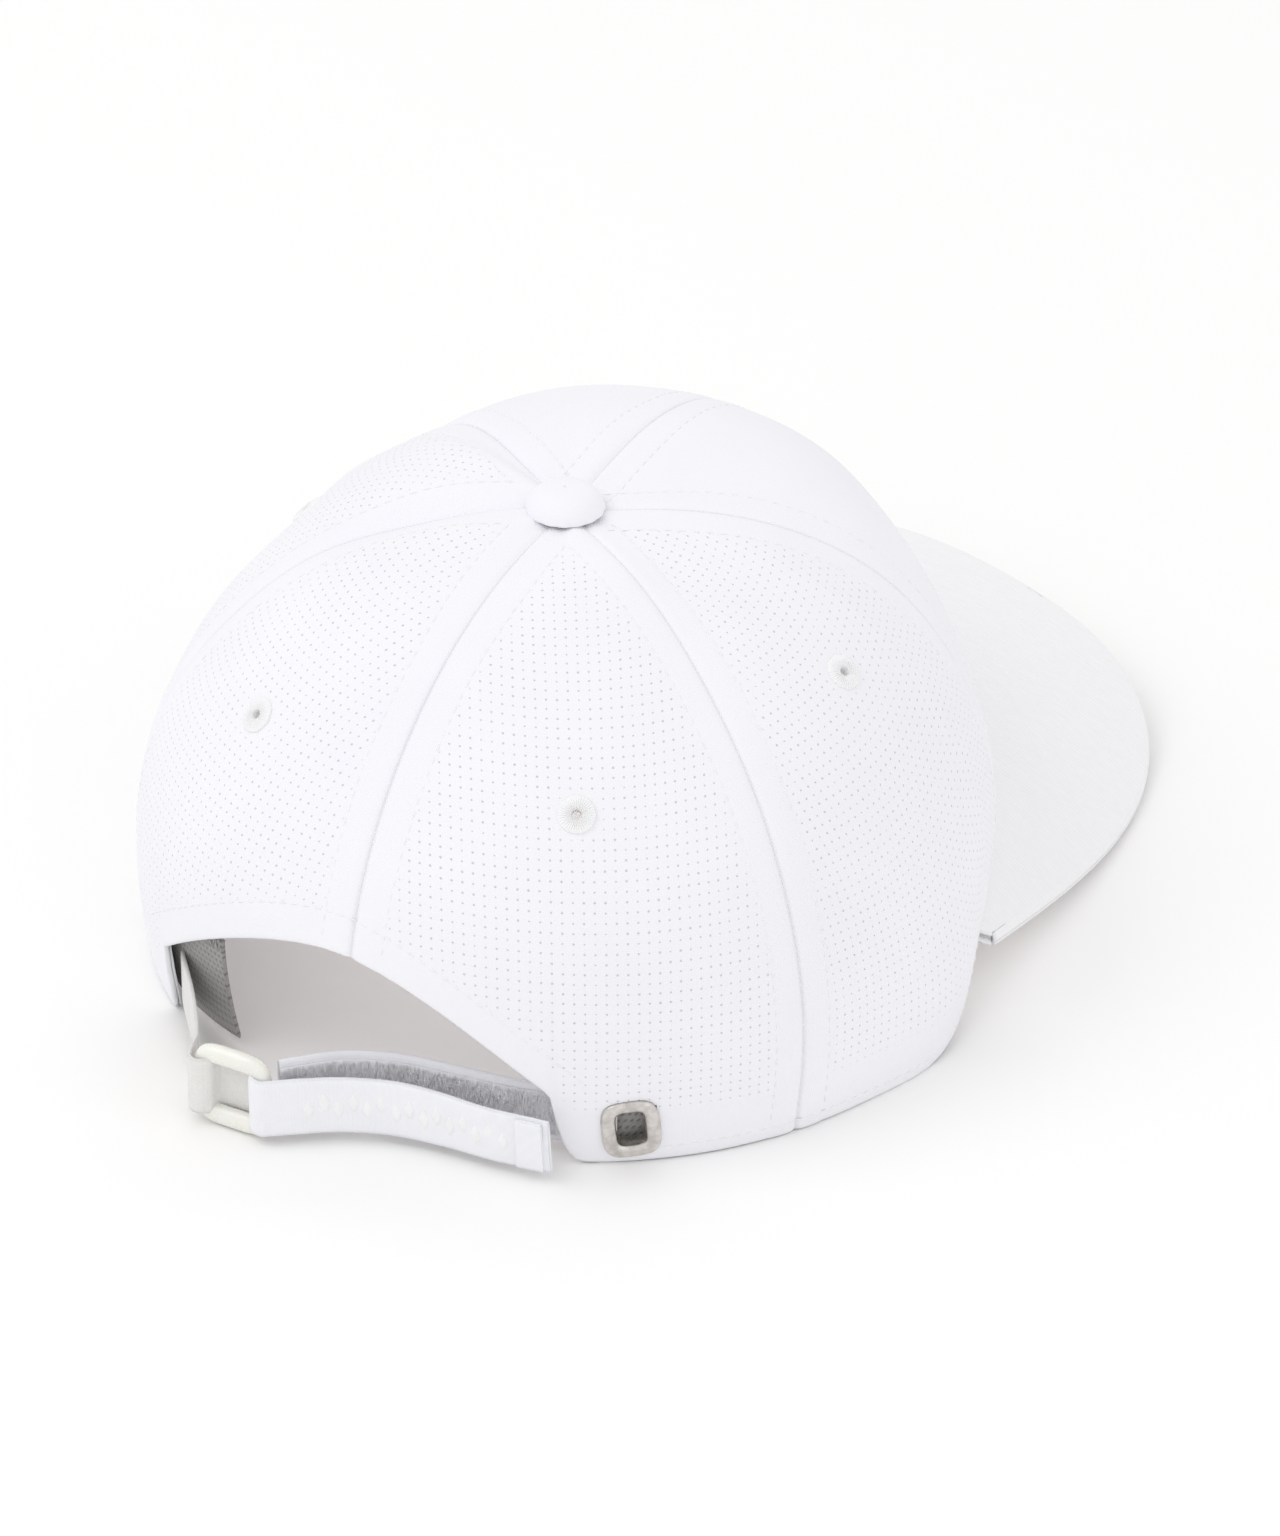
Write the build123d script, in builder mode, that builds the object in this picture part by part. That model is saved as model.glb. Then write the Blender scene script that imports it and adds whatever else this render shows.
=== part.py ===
"""Six-panel golf cap with a curved visor, a hook-and-loop back strap, a strap ring and a slot grommet.

The visor points along -Y, the wearer's left is +X and the cap stands on Z = 0. Angles round the
crown are in degrees: 0 at the front, positive towards the wearer's left, 180 at the back.
Heights along a panel run from 0 at the rim to 1 at the apex.
"""
import os
from math import copysign, cos, hypot, pi, radians, sin, sqrt

from build123d import *

# ---- crown ----
crown_half_width = 94.3
crown_half_length = 94.0
crown_centre_y = 21.8        # puts the origin under the middle of the whole cap
crown_height = 111.0
apex_setback = 3.8
egg_shape = 0.044            # how much wider the back of the plan is than the front
front_squareness = 1.87
rear_squareness = 2.48
front_bulge = 0.026
rear_bulge = 0.0825
bulge_height = 0.97
front_lift = 17.5            # how far the front seam stands up before it falls to the button
cloth = 1.2
seam_angles = {"front": 0, "front_left": 60, "rear_left": 120,
               "rear": 180, "rear_right": 240, "front_right": 300}

# ---- visor ----
visor_root_height = 34.0
visor_slope = 0.167
visor_radius = 152.0         # curve of the visor from side to side
visor_half_width = 92.9
visor_reach = 59.8           # beyond the crown, at the front
visor_root_y = 26.6          # where the visor's ends leave the crown, ahead of its middle
visor_squareness = 3.5
visor_end_angle = 76.0
rim_down_angle = 100.0       # from here back the rim lies on the ground
visor_cloth = 0.7
visor_board_thickness = 1.8
visor_edge = 1.2             # the board stops this far inside the cloth

# ---- lining ----
backing_inset = 1.3
backing_thickness = 0.6
tape_inset = 2.25
tape_thickness = 0.4
tape_half_width = 5.0
tape_top_radius = 9.0
sweatband_inset = 3.1
sweatband_thickness = 0.9
sweatband_height = 29.0
sweatband_end_angle = 137.0

# ---- back opening ----
arch_height = 46.0
arch_centre_x = 4.0
arch_half_widths = {-1: 66.0, 1: 73.5}
arch_roundness = 1.85
arch_tip_heights = {-1: 20.0, 1: 19.0}   # where the curve turns down into a rounded corner
arch_corner_run = 8.0        # from a tip out to the foot of its corner
arch_corner_middle = (2.5, 5.0)
arch_foot = -2.0             # just below the rim
cut_reach = 140.0            # longer than anything it cuts
facing_inset = 1.35
facing_thickness = 0.5
facing_width = 6.5
facing_span = (128.0, 211.8)   # stops short of the grommet

# ---- button, eyelets and grommet ----
button_radius = 8.75
button_height = 5.2
button_gap = 0.75
button_skin = 0.7
button_shoulder = (0.72, 0.70)   # shares of the radius and height where the dome turns over
stud_radius = 1.8
panel_hole_radius = 2.2
washer_radius = 7.0
washer_thickness = 1.0
washer_gap = 0.6
eyelet_places = {"rear_left": (150, 0.468), "rear_right": (-150, 0.468),
                 "side_left": (90, 0.526), "side_right": (-90, 0.526)}
eyelet_radius = 4.25
eyelet_neck_radius = 2.65
eyelet_bore_radius = 1.6
eyelet_flange = 0.6
eyelet_clearance = 0.15
eyelet_back_gap = 0.3
hole_reach = 4.0             # deep enough to pass through a panel and nothing behind it
grommet_angle = -143.5
grommet_height = 10.4
grommet_size = (13.0, 16.0)
grommet_slot = (6.4, 10.0)
grommet_wall = 0.8
grommet_corner = 3.2
grommet_face = 1.0
grommet_lift = 0.2           # between the cloth and the face
grommet_edge_round = 0.6
grommet_neck_corner = 2.2
grommet_slot_corner = 1.6
grommet_back = 0.9           # how far the neck goes beyond the cloth
washer_plate = 0.6

# ---- strap and ring ----
strap_width = 14.0
strap_bottom = 3.4
webbing = 1.2
pad_thickness = 0.8
ring_bar_radius = 1.8
ring_pitch = 16.0            # between the two upright bars
ring_rail = 2.8
ring_rail_depth = 3.6
ring_height = 20.2
ring_bottom = 0.3
ring_rail_round = 1.1
ring_bar_trim = 0.05
strap_bar = (15.5, crown_centre_y + 107.5)
fit_gap = 0.3
fold_radius = ring_bar_radius + fit_gap + webbing / 2
fold_opening = ((-7.0, 5.9), (-12.0, 0.0), (2.0, -8.0))   # the side of the bar that the fold leaves free
tab_taper = 13.0             # over this length the tab narrows from its loop to a doubled band

UP = Vector(0, 0, 1)
APEX = Vector(0, crown_centre_y + apex_setback, 0)


def plan_point(angle):
    """The crown's rim seen from above."""
    side = sin(radians(angle))
    front = cos(radians(angle))
    x = crown_half_width * side * (1 - egg_shape * front)
    return Vector(x, crown_centre_y - crown_half_length * front, 0)


def visor_top(x, y):
    """Height of the visor's upper face."""
    ahead = crown_centre_y - y - crown_half_length
    droop = visor_radius - sqrt(visor_radius**2 - x**2)
    return visor_root_height - visor_slope * ahead - droop * hypot(1, visor_slope)


def rim_height(angle):
    """The rim follows the visor, then falls to the ground behind it."""
    turn = abs((angle + 180) % 360 - 180)
    if turn <= visor_end_angle:
        point = plan_point(turn)
        return visor_top(point.X, point.Y)
    point = plan_point(visor_end_angle)
    fall = min((turn - visor_end_angle) / (rim_down_angle - visor_end_angle), 1)
    return visor_top(point.X, point.Y) * (1 - fall) ** 2


def profile(angle, height):
    """Distance from the apex axis and Z of the crown's outer face in the upright plane at an angle."""
    frontness = (1 + cos(radians(angle))) / 2
    squareness = rear_squareness + (front_squareness - rear_squareness) * frontness
    sweep = height * pi / 2
    rise = sin(sweep) ** (2 / squareness)
    swell = rear_bulge + (front_bulge - rear_bulge) * frontness
    reach = max(cos(sweep), 0) ** (2 / squareness)
    reach *= 1 + swell * sin(pi * min(rise / bulge_height, 1))
    rim = rim_height(angle)
    z = rim + (crown_height - rim) * rise + front_lift * frontness**2 * sin(pi * height) ** 2
    return (plan_point(angle) - APEX).length * reach, z


def inset_profile(angle, height, inset):
    """A profile point moved into the cap, square to the outer face."""
    step = 1e-4
    low = profile(angle, max(height - step, 0))
    high = profile(angle, min(height + step, 1))
    along = (high[0] - low[0], high[1] - low[1])
    length = hypot(*along)
    r, z = profile(angle, height)
    return r - inset * along[1] / length, z + inset * along[0] / length


def height_where(angle, test):
    """The height along a panel at which the test first fails, found by halving."""
    low, high = 0.0, 1.0
    for _ in range(30):
        middle = (low + high) / 2
        if test(profile(angle, middle)):
            low = middle
        else:
            high = middle
    return low


def height_at_radius(angle, radius):
    return height_where(angle, lambda point: point[0] > radius)


def height_above_rim(angle, rise):
    return height_where(angle, lambda point: point[1] < rim_height(angle) + rise)


def upright_plane(angle):
    """The upright plane through the apex axis that holds a panel's profile at an angle."""
    outward = (plan_point(angle) - APEX).normalized()
    return Plane(origin=APEX, x_dir=outward, z_dir=outward.cross(UP))


def surface_point(angle, height):
    r, z = profile(angle, height)
    return APEX + (plan_point(angle) - APEX).normalized() * r + UP * z


def surface_plane(angle, height):
    """A plane on the crown's outer face: X runs level round the crown, Z points outwards."""
    step = 0.01
    along = surface_point(angle + 1, height) - surface_point(angle - 1, height)
    climb = surface_point(angle, height + step) - surface_point(angle, height - step)
    outward = along.cross(climb)
    return Plane(origin=surface_point(angle, height), x_dir=UP.cross(outward), z_dir=outward)


def strip_section(angle, start, stop, inset, thickness, points=9):
    """The outline of a layer of the crown where the upright plane at an angle cuts it."""
    heights = [start + (stop - start) * i / (points - 1) for i in range(points)]
    outer = [inset_profile(angle, height, inset) for height in heights]
    inner = [inset_profile(angle, height, inset + thickness) for height in heights]
    with BuildSketch(upright_plane(angle)) as section:
        with BuildLine():
            Spline(*outer)
            Line(outer[-1], inner[-1])
            Spline(*inner[::-1])
            Line(inner[0], outer[0])
        make_face()
    return section.sketch


def angle_steps(start, stop, count):
    return [start + (stop - start) * i / count for i in range(count + 1)]


def arch_outline(grow):
    """The back opening seen from behind, larger all round by a margin."""
    peak = arch_height + grow
    tips = {}
    feet = {}
    for side in (-1, 1):
        half_width = arch_half_widths[side] + grow
        share = (1 - arch_tip_heights[side] / peak) ** (1 / arch_roundness)
        tips[side] = side * half_width * share
        feet[side] = side * (half_width * share + arch_corner_run)
    right_points = [tips[-1] * (1 - i / 5) for i in range(5)]
    left_points = [tips[1] * i / 5 for i in range(6)]
    curve = []
    for x in right_points + left_points:
        half_width = arch_half_widths[1 if x > 0 else -1] + grow
        curve.append((arch_centre_x + x, peak * (1 - (abs(x) / half_width) ** arch_roundness)))
    with BuildSketch(Plane(origin=(0, crown_centre_y, 0), x_dir=(1, 0, 0), z_dir=(0, -1, 0))) as outline:
        with BuildLine():
            Spline(*curve)
            run, height = arch_corner_middle
            left_foot = (arch_centre_x + feet[1], arch_foot)
            right_foot = (arch_centre_x + feet[-1], arch_foot)
            ThreePointArc(curve[-1], (curve[-1][0] + run, height), left_foot)
            Line(left_foot, right_foot)
            ThreePointArc(right_foot, (curve[0][0] - run, height), curve[0])
        make_face()
    return outline.sketch


def finish(part, name):
    part.label = name
    export_step(part, f"parts/{name}.step")


os.makedirs("parts", exist_ok=True)

# ---- grommet seat, used by the panel, the grommet and its washer ----
grommet_level = height_above_rim(grommet_angle, grommet_height)
grommet_plane = surface_plane(grommet_angle, grommet_level)
grommet_neck = (grommet_slot[0] + 2 * grommet_wall, grommet_slot[1] + 2 * grommet_wall)

# ---- six crown panels ----
panel_spans = {"front_panel_left": (0, 60), "side_panel_left": (60, 120), "rear_panel_left": (120, 180),
               "rear_panel_right": (180, 240), "side_panel_right": (240, 300), "front_panel_right": (300, 360)}
for panel_name, (first, last) in panel_spans.items():
    with BuildPart() as panel:
        loft([strip_section(angle, 0, height_at_radius(angle, panel_hole_radius), 0, cloth)
              for angle in angle_steps(first, last, 5)])
        if panel_name.startswith("rear"):
            extrude(arch_outline(0), amount=cut_reach, both=True, mode=Mode.SUBTRACT)
        for place, (angle, height) in eyelet_places.items():
            if first < angle % 360 < last:
                with BuildSketch(surface_plane(angle, height)):
                    Circle(eyelet_neck_radius + eyelet_clearance)
                extrude(amount=hole_reach, both=True, mode=Mode.SUBTRACT)
        if panel_name == "rear_panel_right":
            with BuildSketch(grommet_plane):
                RectangleRounded(grommet_neck[0] + fit_gap, grommet_neck[1] + fit_gap, grommet_neck_corner)
            extrude(amount=hole_reach, both=True, mode=Mode.SUBTRACT)
    finish(panel.part, panel_name)

# ---- stiff backing behind the two front panels ----
backing_spans = {"front_backing_left": (1.5, 58.5), "front_backing_right": (301.5, 358.5)}
for backing_name, (first, last) in backing_spans.items():
    with BuildPart() as backing:
        loft([strip_section(angle, 0.02, 0.85, backing_inset, backing_thickness)
              for angle in angle_steps(first, last, 5)])
    finish(backing.part, backing_name)

# ---- tape over each seam, inside the crown ----
for seam_name, angle in seam_angles.items():
    with BuildPart() as tape:
        top = height_at_radius(angle, tape_top_radius)
        foot = 0.02
        if seam_name == "rear":
            foot = height_above_rim(angle, arch_height + facing_width + 2)
        extrude(strip_section(angle, foot, top, tape_inset, tape_thickness), amount=tape_half_width, both=True)
    finish(tape.part, f"seam_tape_{seam_name}")

# ---- sweatband round the inside of the rim, open at the back ----
sweatband_rise = 1.0         # above the rim
with BuildPart() as sweatband:
    loft([strip_section(angle, height_above_rim(angle, sweatband_rise),
                        height_above_rim(angle, sweatband_height),
                        sweatband_inset, sweatband_thickness, points=5)
          for angle in angle_steps(-sweatband_end_angle, sweatband_end_angle, 20)])
finish(sweatband.part, "sweatband")

# ---- facing that finishes the edge of the back opening ----
with BuildPart() as arch_facing:
    loft([strip_section(angle, 0.02, 0.45, facing_inset, facing_thickness)
          for angle in angle_steps(*facing_span, 7)])
    extrude(arch_outline(facing_width), amount=cut_reach, both=True, mode=Mode.INTERSECT)
    extrude(arch_outline(0), amount=cut_reach, both=True, mode=Mode.SUBTRACT)
finish(arch_facing.part, "arch_facing")


# ---- visor: a board between two cloths ----
def visor_outline(margin):
    """The visor seen from above, from one root end round the front to the other."""
    far = crown_half_length + visor_reach - visor_root_y - margin
    points = []
    for turn in angle_steps(-90, 90, 16):
        x = visor_half_width - margin
        x *= abs(sin(radians(turn))) ** (2 / visor_squareness)
        ahead = visor_root_y + far * max(cos(radians(turn)), 0) ** (2 / visor_squareness)
        points.append((copysign(x, turn), crown_centre_y - ahead))
    clear = 1 + fit_gap / crown_half_length
    crown_edge = []
    for angle in angle_steps(-90, 90, 12):
        point = plan_point(angle)
        crown_edge.append((point.X * clear, crown_centre_y + (point.Y - crown_centre_y) * clear))
    with BuildSketch() as outline:
        with BuildLine():
            Spline(*points)
            Line(points[-1], points[0])
        make_face()
        with BuildLine():
            Spline(*crown_edge)
            Line(crown_edge[-1], crown_edge[0])
        make_face(mode=Mode.SUBTRACT)
    return outline.sketch


visor_length = 180.0         # from the middle of the crown to beyond the front edge
visor_plane = Plane(origin=(0, crown_centre_y, visor_root_height + visor_slope * crown_half_length),
                    x_dir=(1, 0, 0), z_dir=(0, -1, -visor_slope))
visor_layers = {"visor_top_cloth": (0, visor_cloth, 0),
                "visor_board": (visor_cloth, visor_board_thickness, visor_edge),
                "visor_under_cloth": (visor_cloth + visor_board_thickness, visor_cloth, 0)}
for layer_name, (depth, thickness, margin) in visor_layers.items():
    with BuildPart() as layer:
        with BuildSketch(visor_plane):
            with BuildLine():
                upper = CenterArc((0, -visor_radius), visor_radius - depth, 45, 90)
                lower = CenterArc((0, -visor_radius), visor_radius - depth - thickness, 45, 90)
                Line(upper @ 0, lower @ 0)
                Line(upper @ 1, lower @ 1)
            make_face()
        extrude(amount=visor_length)
        extrude(visor_outline(margin), amount=crown_height, mode=Mode.INTERSECT)
    finish(layer.part, layer_name)

# ---- covered button: cloth, metal cap, and a stud with its washer inside the crown ----
button_base = crown_height + button_gap
button_plane = Plane(origin=(0, APEX.Y, button_base), x_dir=(1, 0, 0), z_dir=(0, -1, 0))


def button_dome(skin_depth):
    """Half section of a dome that lies a depth inside the button's outer face."""
    radius = button_radius - skin_depth
    height = button_height - skin_depth
    return (0, height), (radius * button_shoulder[0], height * button_shoulder[1]), (radius, 0)


for dome_name, depth in {"button_cover": 0, "button_cap": button_skin}.items():
    with BuildPart() as dome:
        with BuildSketch(button_plane):
            with BuildLine():
                outside = ThreePointArc(*button_dome(depth))
                inside = ThreePointArc(*button_dome(depth + button_skin))
                Line(outside @ 0, inside @ 0)
                Line(outside @ 1, inside @ 1)
            make_face()
        revolve(axis=Axis(button_plane.origin, (0, 0, 1)))
    finish(dome.part, dome_name)

stud_top = button_height - 2 * button_skin
stud_short = 0.4             # between the stud and the cap's underside
washer_top = button_gap + tape_inset + tape_thickness + washer_gap
with BuildPart() as button_stud:
    with BuildSketch(Plane(origin=(0, APEX.Y, button_base - washer_top - washer_thickness))):
        Circle(washer_radius)
    extrude(amount=washer_thickness)
    with BuildSketch(Plane(origin=(0, APEX.Y, button_base - washer_top))):
        Circle(stud_radius)
    extrude(amount=washer_top + stud_top - stud_short)
finish(button_stud.part, "button_stud")

# ---- sewn eyelets, one in each side and rear panel ----
with BuildPart() as eyelets:
    back = -cloth - eyelet_back_gap
    for angle, height in eyelet_places.values():
        seat = surface_plane(angle, height)
        for level, radius, thickness in ((eyelet_clearance, eyelet_radius, eyelet_flange),
                                         (back, eyelet_neck_radius, eyelet_clearance - back),
                                         (back - eyelet_flange, eyelet_radius, eyelet_flange)):
            with BuildSketch(seat.offset(level)):
                Circle(radius)
                Circle(eyelet_bore_radius, mode=Mode.SUBTRACT)
            extrude(amount=thickness)
finish(eyelets.part, "eyelets")

# ---- slot grommet: a face with a neck through the panel, and a washer behind ----
neck_length = cloth + grommet_back
with BuildPart() as grommet_front:
    with BuildSketch(grommet_plane.offset(grommet_lift)):
        RectangleRounded(*grommet_size, grommet_corner)
    extrude(amount=grommet_face)
    outer_rim = grommet_front.edges().group_by(Axis(grommet_plane.origin, grommet_plane.z_dir))[-1]
    fillet(outer_rim, grommet_edge_round)
    with BuildSketch(grommet_plane.offset(grommet_lift - neck_length)):
        RectangleRounded(*grommet_neck, grommet_neck_corner)
    extrude(amount=neck_length)
    with BuildSketch(grommet_plane):
        RectangleRounded(*grommet_slot, grommet_slot_corner)
    extrude(amount=hole_reach, both=True, mode=Mode.SUBTRACT)
finish(grommet_front.part, "grommet_front")

with BuildPart() as grommet_washer:
    with BuildSketch(grommet_plane.offset(-neck_length)):
        RectangleRounded(*grommet_size, grommet_corner)
        RectangleRounded(grommet_neck[0] + fit_gap, grommet_neck[1] + fit_gap, grommet_neck_corner,
                         mode=Mode.SUBTRACT)
    extrude(amount=washer_plate)
finish(grommet_washer.part, "grommet_washer")


# ---- strap: a base sewn inside the right corner, which folds back round the ring's bar as a tail ----
def behind(x, back):
    """A plan point measured from the middle of the crown, back towards +Y."""
    return (x, crown_centre_y + back)


def shifted(points, distance):
    """A plan route moved sideways, to the left of its direction."""
    moved = []
    for i, point in enumerate(points):
        before = points[max(i - 1, 0)]
        after = points[min(i + 1, len(points) - 1)]
        run = (after[0] - before[0], after[1] - before[1])
        length = hypot(*run)
        moved.append((point[0] - distance * run[1] / length, point[1] + distance * run[0] / length))
    return moved


def thick_route(points, thickness):
    """The plan of a band that follows a route."""
    left = shifted(points, thickness / 2)
    right = shifted(points, -thickness / 2)
    with BuildSketch(Plane.XY.offset(strap_bottom)) as plan:
        with BuildLine():
            Spline(*left)
            Line(left[-1], right[-1])
            Spline(*right[::-1])
            Line(right[0], left[0])
        make_face()
    return plan.sketch


base_route = [behind(-50.5, 76.2), behind(-44, 80.6), behind(-34, 84.6), behind(-20, 87.4),
              behind(-7, 89.4), behind(4, 94), behind(11, 99.8), behind(14.6, 103)]
tail_route = [behind(13.7, 109.7), behind(8, 105.2), behind(0, 99.6), behind(-10, 95.4),
              behind(-22, 93.4), behind(-34, 92.6), behind(-47, 90.2)]
with BuildPart() as strap_base:
    extrude(thick_route(base_route, webbing), amount=strap_width)
finish(strap_base.part, "strap_base")

with BuildPart() as strap_loop_pad:
    pad_route = shifted(base_route[2:], (webbing + pad_thickness) / 2)
    extrude(thick_route(pad_route, pad_thickness), amount=strap_width)
finish(strap_loop_pad.part, "strap_loop_pad")

with BuildPart() as strap_tail:
    extrude(thick_route(tail_route, webbing), amount=strap_width)
    with BuildSketch(Plane.XY.offset(strap_bottom)):
        with Locations(strap_bar):
            Circle(fold_radius + webbing / 2)
            Circle(fold_radius - webbing / 2, mode=Mode.SUBTRACT)
        with BuildLine():
            Polyline(strap_bar, *[(strap_bar[0] + x, strap_bar[1] + y) for x, y in fold_opening], close=True)
        make_face(mode=Mode.SUBTRACT)
    extrude(amount=strap_width)
finish(strap_tail.part, "strap_tail")

with BuildPart() as strap_hook_pad:
    pad_route = shifted(tail_route[2:], (webbing + pad_thickness) / 2)
    extrude(thick_route(pad_route, pad_thickness), amount=strap_width)
finish(strap_hook_pad.part, "strap_hook_pad")

# ---- strap ring: two upright bars between two rails ----
tab_bar = (strap_bar[0] + ring_pitch, strap_bar[1])
with BuildPart() as strap_ring:
    for rail_bottom in (ring_bottom, ring_bottom + ring_height - ring_rail):
        with BuildSketch(Plane.XY.offset(rail_bottom)):
            with Locations((strap_bar[0] + ring_pitch / 2, strap_bar[1])):
                SlotCenterToCenter(ring_pitch, ring_rail_depth)
        extrude(amount=ring_rail)
    fillet(strap_ring.edges().filter_by(Plane.XY), ring_rail_round)
    with BuildSketch(Plane.XY.offset(ring_bottom + ring_rail / 2)):
        with Locations(strap_bar, tab_bar):
            Circle(ring_bar_radius - ring_bar_trim)
    extrude(amount=ring_height - ring_rail)
finish(strap_ring.part, "strap_ring")

# ---- tab that holds the ring: a band sewn inside the left corner, looped round the ring's other bar ----
tab_start = behind(57.0, 71.0)
with BuildPart() as ring_tab:
    with BuildSketch(Plane.XY.offset(strap_bottom)):
        outer_half = fold_radius + webbing / 2
        start = Vector(*tab_start)
        bar = Vector(*tab_bar)
        heading = (bar - start).normalized()
        outward = Vector(heading.Y, -heading.X)
        neck = bar - heading * tab_taper
        with Locations(tab_bar):
            Circle(outer_half)
        with BuildLine():
            Polyline(bar + outward * outer_half, neck + outward * webbing, start + outward * webbing,
                     start, neck - outward * webbing, bar - outward * outer_half, close=True)
        make_face()
        with Locations(tab_bar):
            Circle(ring_bar_radius + fit_gap, mode=Mode.SUBTRACT)
    extrude(amount=strap_width)
finish(ring_tab.part, "ring_tab")
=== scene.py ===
"""A white golf cap on a pale floor: crown, visor, button, eyelets, grommet and strap round the CAD frame.

Lengths are millimetres, which MM turns into metres; lights and camera are in metres.
Angles round the crown are degrees: 0 at the front, positive to the wearer's left (+X), 180 at the back.
Heights on the crown are shares of the climb from its rim, 0, to its apex, 1.
"""
from math import cos, hypot, pi, radians, sin

import bpy
import numpy as np
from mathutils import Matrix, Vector
from numpy.linalg import norm


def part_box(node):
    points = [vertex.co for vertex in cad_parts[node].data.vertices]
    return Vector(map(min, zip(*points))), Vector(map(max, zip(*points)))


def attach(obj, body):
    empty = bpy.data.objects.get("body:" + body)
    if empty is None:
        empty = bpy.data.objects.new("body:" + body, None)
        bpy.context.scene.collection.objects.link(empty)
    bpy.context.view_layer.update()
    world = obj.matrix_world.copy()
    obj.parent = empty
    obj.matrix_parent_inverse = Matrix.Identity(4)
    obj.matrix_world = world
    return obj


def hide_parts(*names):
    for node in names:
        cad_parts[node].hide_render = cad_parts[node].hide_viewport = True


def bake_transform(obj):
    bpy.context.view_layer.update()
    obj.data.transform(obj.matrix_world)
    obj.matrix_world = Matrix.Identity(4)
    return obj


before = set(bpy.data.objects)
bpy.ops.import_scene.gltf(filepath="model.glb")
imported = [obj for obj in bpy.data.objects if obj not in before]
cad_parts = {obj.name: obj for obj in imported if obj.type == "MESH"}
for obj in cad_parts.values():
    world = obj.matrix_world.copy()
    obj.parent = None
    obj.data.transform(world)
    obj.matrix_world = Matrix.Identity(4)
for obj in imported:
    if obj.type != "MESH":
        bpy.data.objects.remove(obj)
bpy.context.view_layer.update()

MM = 0.001
rng = np.random.default_rng(7)


# ---- driving sizes of the crown and visor
HALF_WIDTH, HALF_LENGTH, CENTRE_Y, HEIGHT = 94.3, 94.0, 21.8, 111.0
APEX = np.array([0.0, CENTRE_Y + 3.8])
EGG = 0.044                 # share by which the plan narrows towards the front
SQUARENESS = {"front": 1.87, "rear": 2.48}
BULGE = {"front": 0.026, "rear": 0.0825, "height": 0.97}
FRONT_LIFT = 17.5           # how far the stiffened front stands up at mid height
VISOR = {"root": 34.0, "slope": 0.167, "radius": 152.0, "half_width": 92.9, "reach": 59.8,
         "root_y": 26.6, "squareness": 3.5, "end_angle": 76.0, "down_angle": 100.0,
         "thickness": 3.2, "cloth": 0.7, "edge": 0.9}
ARCH = {"height": 46.0, "centre": 4.0, "half_widths": (66.0, 73.5), "roundness": 1.85, "tips": (20.0, 19.0),
        "feet": (8.0, 3.5), "half_angle": 62}
CLOTH = 1.2                 # thickness of the crown's cloth
PANEL_LENGTH = 165.0        # along a panel from rim to apex, near enough for small steps
PANEL_TOP = 0.992           # height where the panels stop, under the button
SEAM_STEP = 60              # degrees from one seam to the next
SEAM_ALLOWANCE = 7.0        # width of the folded cloth that is sewn down beside each seam

# Full and hollow places in the cloth: (angle, its spread, height, its spread, millimetres outward).
SWELLS = {"slack_left_side": (88, 48, 0.80, 0.20, 5.0),
          "left_of_front_seam": (15, 40, 0.80, 0.14, 1.6),
          "right_foot": (-93, 11, 0.06, 0.16, 3.2),
          "crease_left_rear": (119, 8, 0.80, 0.13, -2.6),
          "crease_left_front": (66, 9, 0.86, 0.10, -1.8)}


# ---- crown shape
def unit(vectors):
    """The same directions, each of length one."""
    return vectors / np.maximum(norm(vectors, axis=-1, keepdims=True), 1e-12)


def plan_point(angle):
    """A point of the rim, seen from above."""
    side, front = np.sin(np.radians(angle)), np.cos(np.radians(angle))
    return np.stack([HALF_WIDTH * side * (1 - EGG * front), CENTRE_Y - HALF_LENGTH * front], -1)


def visor_top(x, y):
    """Height of the visor's upper face."""
    ahead = CENTRE_Y - y - HALF_LENGTH
    droop = VISOR["radius"] - np.sqrt(VISOR["radius"] ** 2 - x ** 2)
    return VISOR["root"] - VISOR["slope"] * ahead - droop * hypot(1, VISOR["slope"])


def rim_height(angle):
    """Height of the crown's lower edge: on the visor in front, on the floor behind."""
    turn = np.abs((np.asarray(angle, float) + 180) % 360 - 180)
    point = plan_point(np.minimum(turn, VISOR["end_angle"]))
    fall = np.clip((turn - VISOR["end_angle"]) / (VISOR["down_angle"] - VISOR["end_angle"]), 0, 1)
    return visor_top(point[..., 0], point[..., 1]) * (1 - fall) ** 2


def bare_crown(angle, height):
    """The outer face of the CAD crown, for arrays of angles and heights."""
    frontness = (1 + np.cos(np.radians(angle))) / 2
    power = 2 / (SQUARENESS["rear"] + (SQUARENESS["front"] - SQUARENESS["rear"]) * frontness)
    sweep = np.clip(height, 0, 1) * pi / 2
    rise = np.sin(sweep) ** power
    swell = BULGE["rear"] + (BULGE["front"] - BULGE["rear"]) * frontness
    reach = np.clip(np.cos(sweep), 1e-9, 1) ** power
    reach = reach * (1 + swell * np.sin(pi * np.clip(rise / BULGE["height"], 0, 1)))
    rim = rim_height(angle)
    z = rim + (HEIGHT - rim) * rise + FRONT_LIFT * frontness ** 2 * np.sin(pi * height) ** 2
    xy = APEX + (plan_point(angle) - APEX) * reach[..., None]
    return np.concatenate([xy, z[..., None]], -1)


def crown_radius(angle, height):
    """Level distance from the apex line to the crown."""
    return norm(bare_crown(angle, height)[..., :2] - APEX, axis=-1)


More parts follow.
